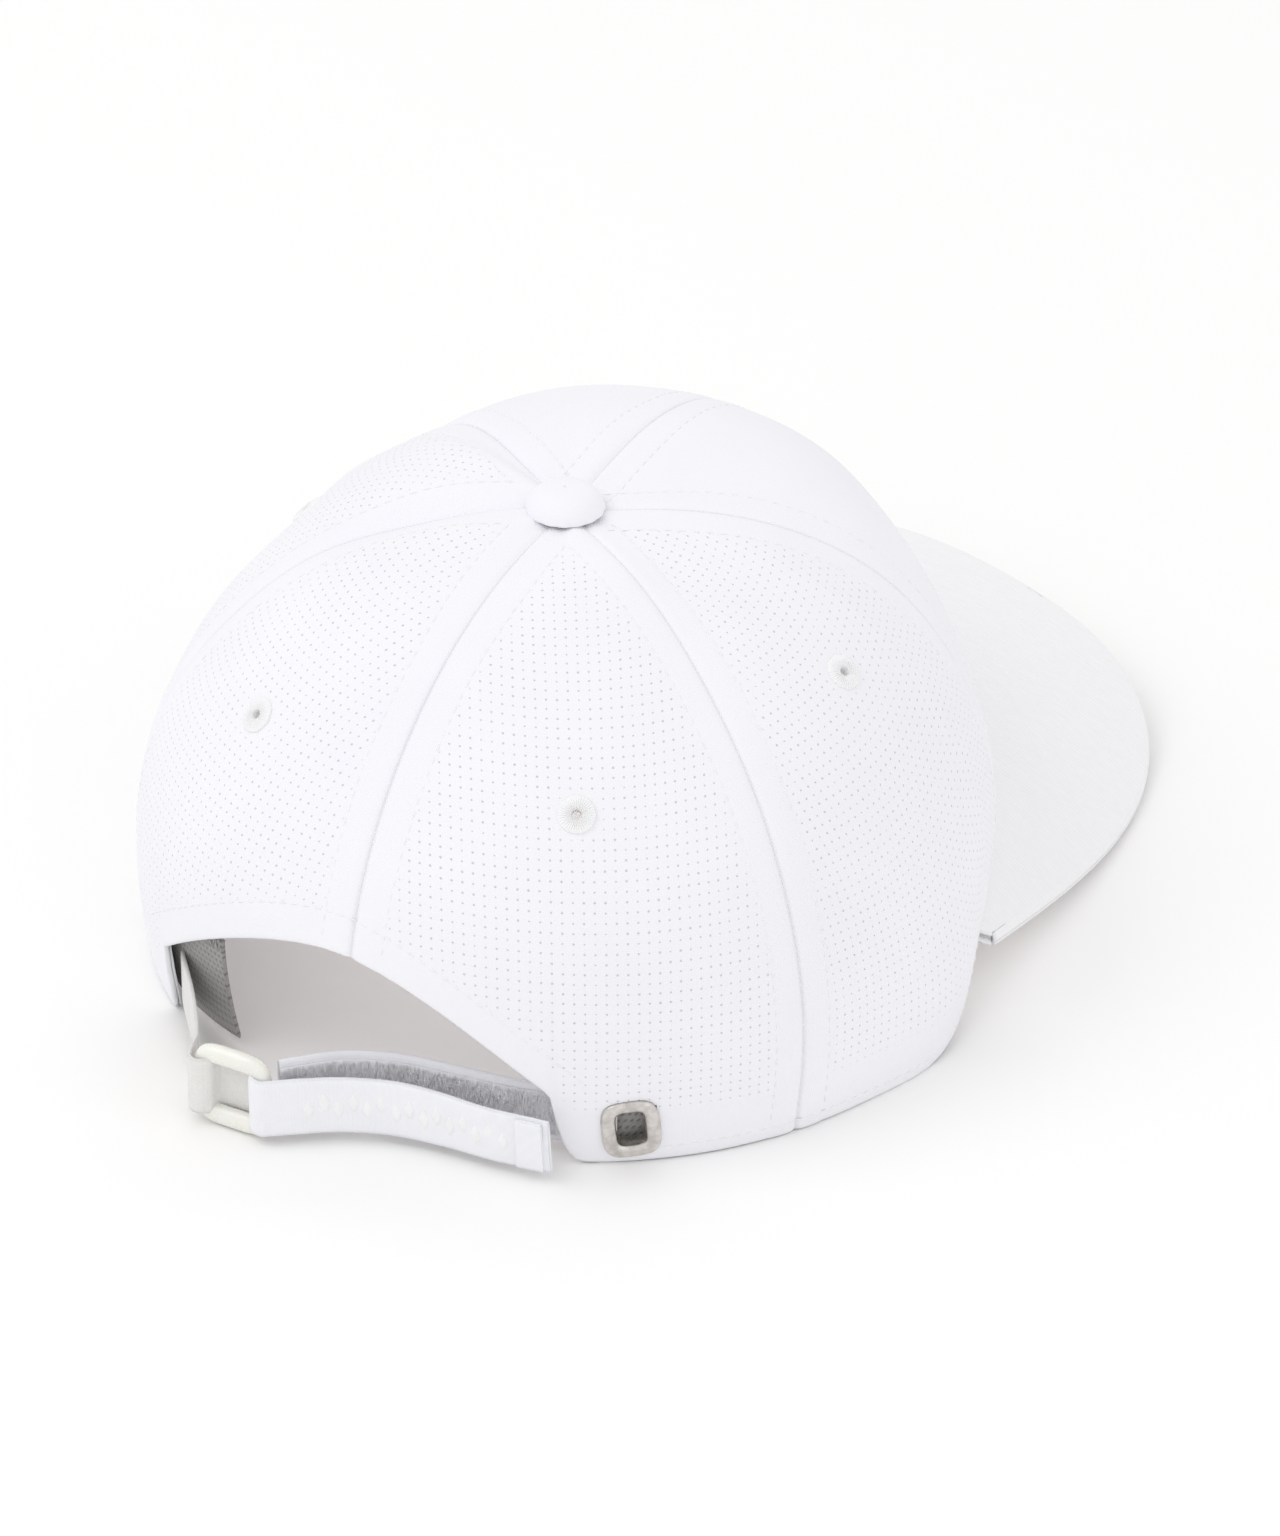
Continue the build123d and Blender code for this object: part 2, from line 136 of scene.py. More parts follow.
def outward(angle, height, step=0.004, half_degree=0.5):
    """Unit normals of the crown's outer face, from small steps that stop short of the apex."""
    low = np.clip(height - step, 0, 0.994)
    high = np.clip(height + step, 0.006, 0.998)
    middle = np.clip(height, 0, 0.996)
    climb = bare_crown(angle, high) - bare_crown(angle, low)
    along = bare_crown(angle + half_degree, middle) - bare_crown(angle - half_degree, middle)
    return unit(np.cross(along, climb))


def from_seam(angle):
    """Degrees to the nearest seam."""
    half = SEAM_STEP / 2
    return np.abs((np.asarray(angle) + half) % SEAM_STEP - half)


def seam_distance(angle, height):
    """Millimetres round the crown to the nearest seam."""
    return np.radians(from_seam(angle)) * crown_radius(angle, height)


def hill(value, middle, spread):
    """A smooth bump, 1 at its middle."""
    return np.exp(-(((value - middle) / spread) ** 2))


def soft_step(value, at, softness):
    """A smooth step from 0 up to 1, or down from 1 to 0 if the softness is negative."""
    return 1 / (1 + np.exp(-(value - at) / softness))


def ramp(value, start, width):
    """0 up to the start, then straight up to 1 over the width."""
    return np.clip((value - start) / width, 0, 1)


def turn_between(angle, middle):
    """Signed degrees from the middle angle."""
    return (np.asarray(angle) - middle + 180) % 360 - 180


def seam_relief(angle, height):
    """A groove at each seam, its folded cloth standing out, and the dip under the topstitching."""
    d = seam_distance(angle, height)
    folded = 0.16 * soft_step(d, 1.2, 0.4) * soft_step(d, SEAM_ALLOWANCE - 0.1, -0.5)
    groove = 0.42 * hill(d, 0, 0.6)
    dip = 0.12 * hill(d, SEAM_ALLOWANCE, 0.5)
    return (folded - groove - dip) * ramp(0.995 - height, 0, 0.06)


def panel_puff(angle, height):
    """Each panel swells a little between its seams, and more on the slack left side."""
    across = from_seam(angle) / (SEAM_STEP / 2)
    puff = (across * (2 - across) - 0.75) * np.sin(pi * np.clip(height, 0, 1)) ** 0.7
    left = np.clip(np.sin(np.radians(angle)), 0, 1)
    return puff * (0.5 + 1.2 * left * hill(height, 0.62, 0.3))


def relief(angle, height):
    """How far the sewn cloth stands out from the plain crown, in millimetres."""
    total = seam_relief(angle, height) + panel_puff(angle, height)
    for swell_angle, angle_spread, swell_height, height_spread, depth in SWELLS.values():
        round_it = hill(turn_between(angle, swell_angle), 0, angle_spread)
        total = total + depth * round_it * hill(height, swell_height, height_spread)
    total = total + 0.5 * np.sin(np.radians(angle * 5 + 40)) * np.sin(height * 9.0)      # slow waves
    total = total + 0.25 * np.sin(np.radians(angle * 11)) * np.sin(height * 17.0)        # quick waves
    return total


def crown(angle, height, proud=0.0, sewn=True):
    """Points on the finished crown, a distance proud of its cloth."""
    angle, height = np.broadcast_arrays(np.asarray(angle, float), np.asarray(height, float))
    lift = proud + (relief(angle, height) if sewn else 0.0)
    lift = np.broadcast_to(lift, angle.shape)
    return bare_crown(angle, height) + outward(angle, height) * lift[..., None]


def arch_z(x, grow=0.0):
    """Height of the back opening's edge at a distance across the cap."""
    side = (x > ARCH["centre"]).astype(int)
    half_width = np.array(ARCH["half_widths"])[side] + grow
    tip_z = np.array(ARCH["tips"])[side]
    peak = ARCH["height"] + grow
    d = np.abs(x - ARCH["centre"])
    tip = half_width * (1 - tip_z / peak) ** (1 / ARCH["roundness"])
    curve = peak * (1 - np.clip(d / half_width, 0, 1) ** ARCH["roundness"])
    corner = tip_z * np.clip(1 - (d - tip) / np.array(ARCH["feet"])[side], 0, 1) ** 3
    return np.where(d < tip, curve, corner)


def height_at_z(angles, levels):
    """The height at each angle where the crown reaches a level."""
    steps = np.linspace(0, 0.9, 181)
    found = []
    for angle, level in zip(np.atleast_1d(angles), np.atleast_1d(levels)):
        found.append(np.interp(level, bare_crown(np.full(len(steps), angle), steps)[:, 2], steps))
    return np.array(found)


def above_rim(rise):
    """A line that stays a distance above the rim, as a function of the angle."""
    return lambda angles: height_at_z(angles, rim_height(angles) + rise)


def low_edge(angle, grow=0.0, rise=0.0):
    """Where a panel's cloth starts: the rim, or the edge of the back opening."""
    wider_than_rim = 1.03
    x = plan_point(angle)[..., 0] * wider_than_rim
    at_back = np.abs(turn_between(angle, 180)) < ARCH["half_angle"]
    level = np.where(at_back, np.maximum(arch_z(x, grow), 0), 0)
    return height_at_z(angle, np.maximum(level, rim_height(angle) + rise))


def seat(angle, height, sewn=False):
    """Centre, level direction, climb and normal of a place on the crown."""
    angle, height = np.array([angle], float), np.array([height], float)
    normal = outward(angle, height)[0]
    level = unit(np.cross([0, 0, 1], normal))
    return crown(angle, height, sewn=sewn)[0], level, np.cross(normal, level), normal


# ---- curves and meshes
def distance_along(points):
    """Distance from a line's first point to each of its points."""
    return np.concatenate([[0], np.cumsum(norm(np.diff(points, axis=0), axis=1))])


def even_curve(points, count):
    """The same line with evenly spaced points."""
    length = distance_along(points)
    even = np.linspace(0, length[-1], count)
    return np.stack([np.interp(even, length, points[:, k]) for k in range(points.shape[1])], 1)


def smooth_route(points, count):
    """An even Catmull-Rom curve through given points."""
    p = np.asarray(points, float)
    padded = np.vstack([2 * p[0] - p[1], p, 2 * p[-1] - p[-2]])
    t = np.linspace(0, 1, 24, endpoint=False)[:, None]
    pieces = []
    for i in range(len(padded) - 3):
        a, b, c, d = padded[i:i + 4]
        pieces.append(0.5 * (2 * b + (c - a) * t + (2 * a - 5 * b + 4 * c - d) * t ** 2
                             + (3 * b - a - 3 * c + d) * t ** 3))
    return even_curve(np.vstack(pieces + [padded[-2][None]]), count)


def grid_faces(rows, cols, start=0, close_rows=False, close_cols=False):
    """Four-sided faces between the rows and columns of a grid of points."""
    faces = []
    for i in range(rows if close_rows else rows - 1):
        for j in range(cols if close_cols else cols - 1):
            row, next_row = start + i * cols, start + (i + 1) % rows * cols
            after = (j + 1) % cols
            faces.append((row + j, row + after, next_row + after, next_row + j))
    return faces


def shell_faces(rows, cols):
    """Faces of a closed shell whose rows run down the outside and back up the inside."""
    faces = grid_faces(rows, cols)
    for i in range((rows + 1) // 2 - 1):
        j = rows - 1 - i
        ring = [i, i + 1, j - 1, j] if j - 1 > i + 1 else [i, i + 1, j]
        faces.append(tuple(k * cols for k in ring))
        faces.append(tuple(k * cols + cols - 1 for k in reversed(ring)))
    last = (rows - 1) * cols
    faces += [(c + 1, c, last + c, last + c + 1) for c in range(cols - 1)]
    return faces


def tube_faces(rings, sides, start=0, clockwise=False):
    """Faces of a tube with flat ends; clockwise says which way round its rings run."""
    order = range(sides)[::-1] if clockwise else range(sides)
    faces = grid_faces(rings, sides, start, close_cols=True)
    faces.append(tuple(start + k for k in order))
    faces.append(tuple(start + (rings - 1) * sides + k for k in reversed(order)))
    return faces


def join_runs(runs):
    """One list of points and one of faces from several."""
    points, faces = [], []
    for run_points, run_faces in runs:
        base = len(points)
        points += list(run_points)
        faces += [tuple(base + i for i in face) for face in run_faces]
    return points, faces


def place_object(name, data, place=(0, 0, 0), target=None):
    """Puts an object in the scene, turned to look at a target if one is given."""
    thing = bpy.data.objects.new(name, data)
    thing.location = place
    if target:
        thing.rotation_euler = (Vector(target) - Vector(place)).to_track_quat("-Z", "Y").to_euler()
    bpy.context.scene.collection.objects.link(thing)
    return thing


def new_object(name, points, faces, material, slot, body="cap", replaces=(), coords=None):
    """Makes a piece from millimetre points, with optional cloth coordinates for its material."""
    mesh = bpy.data.meshes.new(name)
    mesh.from_pydata([tuple(p) for p in np.asarray(points) * MM], [], faces)
    mesh.validate()
    if coords is not None:
        layer = mesh.attributes.new("cloth_mm", "FLOAT_VECTOR", "POINT")
        layer.data.foreach_set("vector", np.asarray(coords, np.float32).ravel())
    mesh.shade_smooth()
    mesh.materials.append(material)
    piece = place_object(name, mesh)
    if body:
        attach(piece, body)
    if replaces:
        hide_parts(*replaces)
    return piece


# ---- materials
class Nodes:
    """Short names for building one material's node tree."""

    def __init__(self, name):
        self.material = bpy.data.materials.new(name)
        self.material.use_nodes = True
        self.tree = self.material.node_tree
        self.shader = self.tree.nodes["Principled BSDF"]

    def add(self, kind, links=None, **settings):
        node = self.tree.nodes.new(kind)
        for key, value in settings.items():
            setattr(node, key, value)
        for socket, value in (links or {}).items():
            self.put(node.inputs[socket], value)
        return node

    def put(self, socket, value):
        """Links a socket to another one, or sets its plain value."""
        if isinstance(value, bpy.types.NodeSocket):
            self.tree.links.new(value, socket)
        else:
            socket.default_value = value

    def set_shader(self, **values):
        for name, value in values.items():
            self.put(self.shader.inputs[name.replace("_", " ")], value)

    def math(self, operation, a, b=0.0):
        return self.add("ShaderNodeMath", {0: a, 1: b}, operation=operation).outputs[0]

    def times(self, a, b):
        return self.math("MULTIPLY", a, b)

    def noise(self, scale, detail, vector, roughness=0.5):
        links = {"Scale": scale, "Detail": detail, "Roughness": roughness, "Vector": vector}
        return self.add("ShaderNodeTexNoise", links).outputs["Fac"]

    def mix(self, factor, a, b):
        """Mixes two colours, each a socket or its red, green and blue."""
        a, b = [(*colour, 1) if isinstance(colour, tuple) else colour for colour in (a, b)]
        return self.add("ShaderNodeMix", {0: factor, 6: a, 7: b}, data_type="RGBA").outputs[2]

    def remap(self, value, low, high, to_low=0.0, to_high=1.0):
        return self.add("ShaderNodeMapRange", {0: value, 1: low, 2: high, 3: to_low, 4: to_high}).outputs[0]

    def stretch(self, vector, factors):
        return self.add("ShaderNodeVectorMath", {0: vector, 1: factors}, operation="MULTIPLY").outputs[0]

    def bump(self, height, distance, strength, under=None):
        links = {"Height": height, "Distance": distance, "Strength": strength}
        if under is not None:
            links["Normal"] = under
        return self.add("ShaderNodeBump", links).outputs["Normal"]

    def object_mm(self):
        """The piece's own coordinates, in millimetres."""
        return self.stretch(self.add("ShaderNodeTexCoord").outputs["Object"], (1000, 1000, 1000))

    def cloth_axes(self):
        """Millimetres across and along the cloth, and the mask stored beside them."""
        vector = self.add("ShaderNodeAttribute", attribute_name="cloth_mm").outputs["Vector"]
        return tuple(self.add("ShaderNodeSeparateXYZ", {0: vector}).outputs)

    def ripple(self, value, period):
        """A smooth 0 to 1 wave along one axis."""
        turns = self.times(value, 2 * pi / period)
        return self.math("ADD", self.times(self.math("SINE", turns), 0.5), 0.5)

    def from_cell_middle(self, value, period):
        """Distance along one axis to the middle of its grid cell."""
        place = self.math("FLOORED_MODULO", value, period)
        return self.math("ABSOLUTE", self.math("SUBTRACT", place, period / 2))

    def distance(self, x, y):
        squares = [self.math("POWER", side, 2.0) for side in (x, y)]
        return self.math("SQRT", self.math("ADD", *squares))


def crown_cloth(hole_pitch=2.25, thread_pitch=0.55):
    """White ripstop: fine weave, a faint grid, and small air holes where the mask allows them, darkened with
    painted shade for the dark seen through them.
    """
    shaded, lit = (0.86, 0.862, 0.905), (0.89, 0.89, 0.925)
    # The hole grey is painted shade, standing for the dark seen through each air hole.
    rib_grey, hole_shade_grey = (0.62, 0.64, 0.72), (0.36, 0.37, 0.43)
    n = Nodes("crown_cloth")
    across, along, mask = n.cloth_axes()
    mm = n.object_mm()
    hole_x = n.from_cell_middle(across, hole_pitch)
    hole_y = n.from_cell_middle(along, hole_pitch)
    patchy = n.remap(n.noise(0.35, 2.0, mm), 0.35, 0.6)
    radius = n.remap(patchy, 0.0, 1.0, 0.12, 0.22)
    hole = n.remap(n.math("SUBTRACT", n.distance(hole_x, hole_y), radius), -0.08, 0.10, 1.0, 0.0)
    hole = n.times(hole, mask)
    rib = n.remap(hole_x, 0.0, 0.16, 1.0, 0.0)
    rib = n.times(rib, n.remap(n.noise(0.9, 2.0, mm), 0.45, 0.65))
    rib = n.times(rib, mask)
    weave = n.math("ADD", n.ripple(across, thread_pitch), n.ripple(along, thread_pitch))
    grain = n.noise(1.6, 4.0, mm, 0.65)
    tone = n.mix(n.remap(n.noise(0.03, 3.0, mm), 0.3, 0.7), shaded, lit)
    tone = n.mix(n.times(rib, 0.10), tone, rib_grey)
    # Painted shade in the air holes.
    tone = n.mix(n.times(hole, 0.5), tone, hole_shade_grey)
    threads = n.bump(n.math("SUBTRACT", weave, n.times(rib, 0.7)), 0.00004, 0.35)
    fibres = n.bump(grain, 0.00012, 0.35, threads)
    pits = n.bump(n.times(hole, -1.0), 0.0002, 0.6, fibres)
    n.set_shader(Base_Color=tone, Roughness=n.remap(grain, 0.2, 0.8, 0.72, 0.88), Normal=pits,
                 Sheen_Weight=0.12, Sheen_Roughness=0.45, Specular_IOR_Level=0.3)
    return n.material


def ribbed_cloth(rib_pitch=1.15, thread_pitch=0.6):
    """Visor cloth: fine cross ribs and a slight slub, a little warmer than the crown."""
    shaded, lit, rib_grey = (0.87, 0.865, 0.885), (0.905, 0.90, 0.915), (0.70, 0.70, 0.72)
    n = Nodes("visor_cloth")
    across, along, _ = n.cloth_axes()
    ribs = n.ripple(along, rib_pitch)
    threads = n.ripple(across, thread_pitch)
    slub = n.noise(0.6, 4.0, n.stretch(n.object_mm(), (0.35, 2.2, 0.6)), 0.6)
    tone = n.mix(n.remap(slub, 0.3, 0.7), shaded, lit)
    tone = n.mix(n.times(ribs, 0.10), tone, rib_grey)
    weave = n.bump(n.math("ADD", ribs, n.times(threads, 0.4)), 0.00008, 0.5)
    n.set_shader(Base_Color=tone, Roughness=n.remap(slub, 0.3, 0.7, 0.74, 0.88),
                 Normal=n.bump(slub, 0.00015, 0.4, weave),
                 Sheen_Weight=0.1, Specular_IOR_Level=0.3)
    return n.material


def fabric(name, dark, light, weave=0.8, fuzz=0.0, depth=0.0001, sheen=0.15):
    """A plain woven or brushed fabric between two close tones."""
    n = Nodes(name)
    mm = n.object_mm()
    coarse = n.noise(0.25, 3.0, mm)
    grain = n.noise(2.2 / weave, 4.0, mm, 0.7)
    cells = {"Vector": mm, "Scale": 1.2 / weave, "Randomness": 0.35}
    checks = n.add("ShaderNodeTexVoronoi", cells).outputs["Distance"]
    texture = n.math("ADD", n.times(checks, 1.0 - fuzz), n.times(grain, 0.5 + fuzz))
    shade = n.math("ADD", n.times(coarse, 0.5), n.times(texture, 0.5))
    n.set_shader(Base_Color=n.mix(n.remap(shade, 0.2, 0.75), dark, light),
                 Roughness=n.remap(grain, 0.3, 0.7, 0.75, 0.92), Normal=n.bump(texture, depth, 0.7),
                 Sheen_Weight=sheen, Specular_IOR_Level=0.25)
    return n.material


def mesh_knit(cell_pitch=1.3):
    """Grey sweatband knit with small open cells, darkened with painted shade for the dark seen through them.
    """
    # The near-black of the open cells is painted shade, not the knit's own colour.
    dark, light, cell_shade_black = (0.33, 0.32, 0.31), (0.50, 0.49, 0.48), (0.12, 0.12, 0.12)
    n = Nodes("sweatband_mesh")
    across, along, _ = n.cloth_axes()
    cell = n.distance(n.from_cell_middle(across, cell_pitch), n.from_cell_middle(along, cell_pitch))
    open_cell = n.remap(cell, 0.15, 0.45, 1.0, 0.0)
    grain = n.noise(2.0, 4.0, n.object_mm(), 0.7)
    tone = n.mix(n.remap(grain, 0.3, 0.7), dark, light)
    # Painted shade in the open cells.
    tone = n.mix(n.times(open_cell, 0.6), tone, cell_shade_black)
    n.set_shader(Base_Color=tone, Roughness=n.remap(grain, 0.3, 0.7, 0.7, 0.9),
                 Normal=n.bump(n.math("SUBTRACT", grain, open_cell), 0.0002, 0.7),
                 Sheen_Weight=0.2, Specular_IOR_Level=0.25)
    return n.material


def plastic(name, dark, light, roughness, coat=0.0):
    """Moulded plastic with slow flow marks and a fine surface."""
    n = Nodes(name)
    mm = n.object_mm()
    flow = n.noise(0.12, 3.0, mm)
    fine = n.noise(3.0, 3.0, mm)
    n.set_shader(Base_Color=n.mix(n.remap(flow, 0.35, 0.65), dark, light),
                 Roughness=n.remap(fine, 0.3, 0.7, *roughness), Normal=n.bump(fine, 0.00002, 0.4),
                 Coat_Weight=coat, Coat_Roughness=0.12, Subsurface_Weight=0.08, Subsurface_Scale=0.002)
    return n.material


def metal(name, dark, light, roughness, direction=(1, 1, 12)):
    """Brushed or satin metal with fine lines along one way."""
    n = Nodes(name)
    mm = n.object_mm()
    brushed = n.noise(1.4, 4.0, n.stretch(mm, direction), 0.6)
    wear = n.noise(0.5, 3.0, mm)
    n.set_shader(Base_Color=n.mix(n.remap(wear, 0.35, 0.65), dark, light), Metallic=1.0,
                 Roughness=n.remap(brushed, 0.3, 0.7, *roughness), Normal=n.bump(brushed, 0.00002, 0.5))
    return n.material


CROWN = crown_cloth()
RIBBED = ribbed_cloth()
MESH = mesh_knit()
TAPE = fabric("lining_tape", (0.66, 0.66, 0.68), (0.76, 0.76, 0.78), weave=0.7)
BACKING = fabric("stiffener", (0.62, 0.62, 0.60), (0.78, 0.78, 0.75), weave=1.1, depth=0.0002)
WEBBING = fabric("webbing", (0.82, 0.83, 0.875), (0.88, 0.885, 0.92), weave=0.6, depth=0.00008, sheen=0.1)
PILE = fabric("loop_pile", (0.84, 0.84, 0.88), (0.93, 0.93, 0.96), weave=0.9, fuzz=0.6, depth=0.0004,
              sheen=0.3)
TAB = fabric("tab_webbing", (0.72, 0.71, 0.70), (0.86, 0.85, 0.83), weave=0.8, fuzz=0.5, depth=0.0003,
             sheen=0.3)
THREAD = fabric("thread", (0.83, 0.83, 0.84), (0.91, 0.91, 0.92), weave=0.3, depth=0.00005)
GREY_THREAD = fabric("grey_thread", (0.30, 0.30, 0.30), (0.48, 0.47, 0.46), weave=0.3, depth=0.00005)
RING = plastic("ring_plastic", (0.82, 0.82, 0.76), (0.87, 0.87, 0.81), (0.2, 0.32), coat=0.4)
BOARD = plastic("board_plastic", (0.7, 0.7, 0.7), (0.78, 0.78, 0.78), (0.5, 0.65))
NICKEL = metal("grommet_metal", (0.56, 0.53, 0.50), (0.72, 0.69, 0.66), (0.24, 0.4))
STAMPED = metal("button_metal", (0.55, 0.55, 0.56), (0.7, 0.7, 0.71), (0.3, 0.45), (6, 1, 1))


# ---- stitching
THREAD_RADIUS = 0.2
STITCH_RINGS = ((0.0, 0.35), (0.18, 0.85), (0.5, 1.0), (0.82, 0.85), (1.0, 0.35))      # (place, fullness)
STITCH_SIDES = 6


def stitch_mesh(starts, ends, normals):
    """Short rounded threads lying from each start to each end."""
    points, faces = [], []
    for start, end, normal in zip(starts, ends, normals):
        axis = end - start
        length = norm(axis)
        axis = unit(axis)
        across = unit(np.cross(normal, axis))
        up = np.cross(axis, across)
        base = len(points)
        for place, size in STITCH_RINGS:
            arched = THREAD_RADIUS * 0.9 * (sin(pi * place) - 0.5)
            centre = start + axis * length * place + up * arched
            for k in range(STITCH_SIDES):
                turn = 2 * pi * k / STITCH_SIDES
                points.append(centre + THREAD_RADIUS * size * (across * cos(turn) + up * 0.8 * sin(turn)))
        faces += tube_faces(len(STITCH_RINGS), STITCH_SIDES, base, clockwise=True)
    return points, faces


def run_of_stitches(points, normals, length=2.3, gap=0.8):
    """Stitches of one length along a line of points."""
    steps = distance_along(points)
    starts = np.arange(gap, steps[-1] - length, length + gap)

    def at(values, distance):
        return np.stack([np.interp(distance, steps, values[:, k]) for k in range(3)], 1)

    return stitch_mesh(at(points, starts), at(points, starts + length), at(normals, starts))


# ---- crown panels
EYELETS = {"rear_left": (150, 0.468), "rear_right": (-150, 0.468),
           "side_left": (90, 0.526), "side_right": (-90, 0.526)}
EYELET_HOLE, EYELET_RIM = 1.6, 4.2
GROMMET_ANGLE, GROMMET_LEVEL = -143.5, 10.4
GROMMET = (GROMMET_ANGLE, height_at_z(GROMMET_ANGLE, GROMMET_LEVEL)[0])
GROMMET_CUT = (4.3, 6.0)        # half width and half height of the opening behind the grommet's plate


def shell(span, cols, rows, low, top, inset, thickness, sewn=True, hem=3):
    """A cloth shell, down the outside and back up the inside; top and inset may vary with the angle."""
    angles = np.linspace(*span, cols)
    top, inset = [value(angles) if callable(value) else value for value in (top, inset)]
    half = thickness / 2 / PANEL_LENGTH
    start = low(angles) + half
    share = np.linspace(1, 0, rows)[:, None]
    outside = start[None, :] + (top - start)[None, :] * share
    heights = [outside]
    depths = [np.zeros((rows, cols)) - inset]
    for k in range(1, hem + 1):
        turn = pi * k / (hem + 1)
        heights.append((start - half * 0.98 * sin(turn))[None, :])
        depths.append(np.zeros((1, cols)) - inset - thickness * (1 - cos(turn)) / 2)
    heights.append(outside[::-1])
    depths.append(np.zeros((rows, cols)) - inset - thickness)
    heights, depths = np.vstack(heights), np.vstack(depths)
    wide = np.broadcast_to(angles, heights.shape)
    points = crown(wide, heights, depths, sewn)
    points[..., 2] = np.maximum(points[..., 2], 0.0)
    return wide, heights, points


def air_hole_mask(wide, heights, points):
    """Where a panel has air holes: 1 in its middle, 0 beside seams, edges, button and eyelets."""
    from_edge = (heights - low_edge(wide[0])[None, :]) * PANEL_LENGTH
    mask = ramp(seam_distance(wide, heights), SEAM_ALLOWANCE + 0.4, 0.8)
    mask = mask * ramp(from_edge, 9, 1.5) * ramp(0.93 - heights, 0, 0.03)
    for place in EYELETS.values():
        away = points - seat(*place)[0]
        mask = mask * ramp(norm(away, axis=-1), EYELET_RIM + 1, 0.6)
    return mask


def cut_out(points):
    """Marks the points that the eyelets' holes and the grommet's slot take away."""
    cut = np.zeros(len(points), bool)
    for place in EYELETS.values():
        centre, level, climb, _ = seat(*place)
        away = points - centre
        hole = np.hypot(away @ level, away @ climb) < EYELET_HOLE
        cut |= hole & (norm(away, axis=1) < 8)
    centre, level, climb, _ = seat(*GROMMET)
    away = points - centre
    slot = (np.abs(away @ level) < GROMMET_CUT[0]) & (np.abs(away @ climb) < GROMMET_CUT[1])
    return cut | (slot & (norm(away, axis=1) < 12))


def panel(name, span, perforated, cols=72, rows=130):
    """One of the crown's six panels, with its air holes' grid measured from its middle and its foot."""
    wide, heights, points = shell(span, cols, rows, low_edge, PANEL_TOP, 0.0, CLOTH)
    middle = sum(span) / 2
    across = np.radians(wide - middle) * crown_radius(wide, heights)
    ruler = np.linspace(0, PANEL_TOP, 200)
    climbed = distance_along(bare_crown(np.full(len(ruler), middle), ruler))
    along = np.interp(heights, ruler, climbed)
    mask = air_hole_mask(wide, heights, points) * perforated
    coords = np.stack([across, along, mask], -1).reshape(-1, 3)
    table = points.reshape(-1, 3)
    cut = cut_out(table)
    faces = [face for face in shell_faces(len(heights), cols) if not cut[list(face)].any()]
    new_object(name + "_cloth", table, faces, CROWN, "crown_cloth", replaces=[name], coords=coords)


PANELS = ("front_panel_left", "side_panel_left", "rear_panel_left",
          "rear_panel_right", "side_panel_right", "front_panel_right")
for i, panel_name in enumerate(PANELS):
    panel(panel_name, (i * SEAM_STEP, (i + 1) * SEAM_STEP), not panel_name.startswith("front"))


# ---- linings
BAND_TOP, BAND_THICKNESS = 29, 0.9      # the sweatband
BAND_RIGHT, BAND_CORNER, BAND_LOOSE = -145, 134, 154.5      # where it starts, its corner, its loose end
ARCH_HEM = 6.5                          # width of the facing round the back opening
IN_STEP = 0.012                         # a height share of about 2 mm


def band_inset(angles):
    """The sweatband steps in behind the grommet, and its loose end leans away from the cloth."""
    behind_grommet = ramp(-angles, 133, 6)
    loose = np.maximum(angles - BAND_CORNER, 0) / (BAND_LOOSE - BAND_CORNER)
    return 3.15 + 1.5 * behind_grommet ** 2 * (3 - 2 * behind_grommet) + 2.8 * loose ** 1.5


def lining(name, node, span, low, top, inset, thickness, material, slot, sewn=True, cols=60, rows=40):
    """A band of cloth inside the crown."""
    wide, heights, points = shell(span, cols, rows, low, top, inset, thickness, sewn)
    across = np.radians(wide) * crown_radius(wide, heights)
    coords = np.stack([across, heights * PANEL_LENGTH, np.ones_like(wide)], -1).reshape(-1, 3)
    new_object(name, points.reshape(-1, 3), shell_faces(len(heights), cols), material, slot,
               replaces=[node] if node else (), coords=coords)


def seam_tape(name, angle, half_width=5.0, inset=2.3, thickness=0.45, rows=110):
    """A ribbon on the inside of a seam, from the rim to just short of the button."""
    low = low_edge(np.array([float(angle)]), rise=1.5)[0] + 0.01
    heights = np.linspace(0.95, low, rows)
    radius = crown_radius(np.full(rows, float(angle)), heights)
    section = [(x, 0.0) for x in np.linspace(-1, 1, 11)] + [(x, 1.0) for x in np.linspace(1, -1, 11)]
    points = []
    for across, depth in section:
        turn = angle + np.degrees(across * half_width / radius)
        points.append(crown(turn, heights, -inset - depth * thickness - 0.12 * across ** 8))
    points = np.stack(points, 1).reshape(-1, 3)
    new_object(name + "_ribbon", points, tube_faces(rows, len(section)), TAPE, "lining_tape",
               replaces=[name])


for side, span in {"left": (1, 58), "right": (302, 359)}.items():
    lining("backing_" + side, "front_backing_" + side, span, above_rim(4.0), 0.90, 1.35, 0.6,
           BACKING, "stiffener")

TAPES = ("front", "front_left", "rear_left", "rear", "rear_right", "front_right")
for i, tape_place in enumerate(TAPES):
    seam_tape("seam_tape_" + tape_place, i * SEAM_STEP)

lining("sweatband_knit", "sweatband", (BAND_RIGHT, BAND_CORNER), above_rim(0.4), above_rim(BAND_TOP),
       band_inset, BAND_THICKNESS, MESH, "sweatband_mesh", sewn=False, cols=220, rows=24)
lining("sweatband_loose_end", None, (BAND_CORNER, BAND_LOOSE), above_rim(0.4), above_rim(BAND_TOP),
       band_inset, BAND_THICKNESS, MESH, "sweatband_mesh", sewn=False, cols=40, rows=24)
lining("arch_binding", "arch_facing", (137, 212.5), low_edge, lambda a: low_edge(a, ARCH_HEM) + IN_STEP,
       1.35, 0.55, TAPE, "lining_tape", cols=150, rows=10)


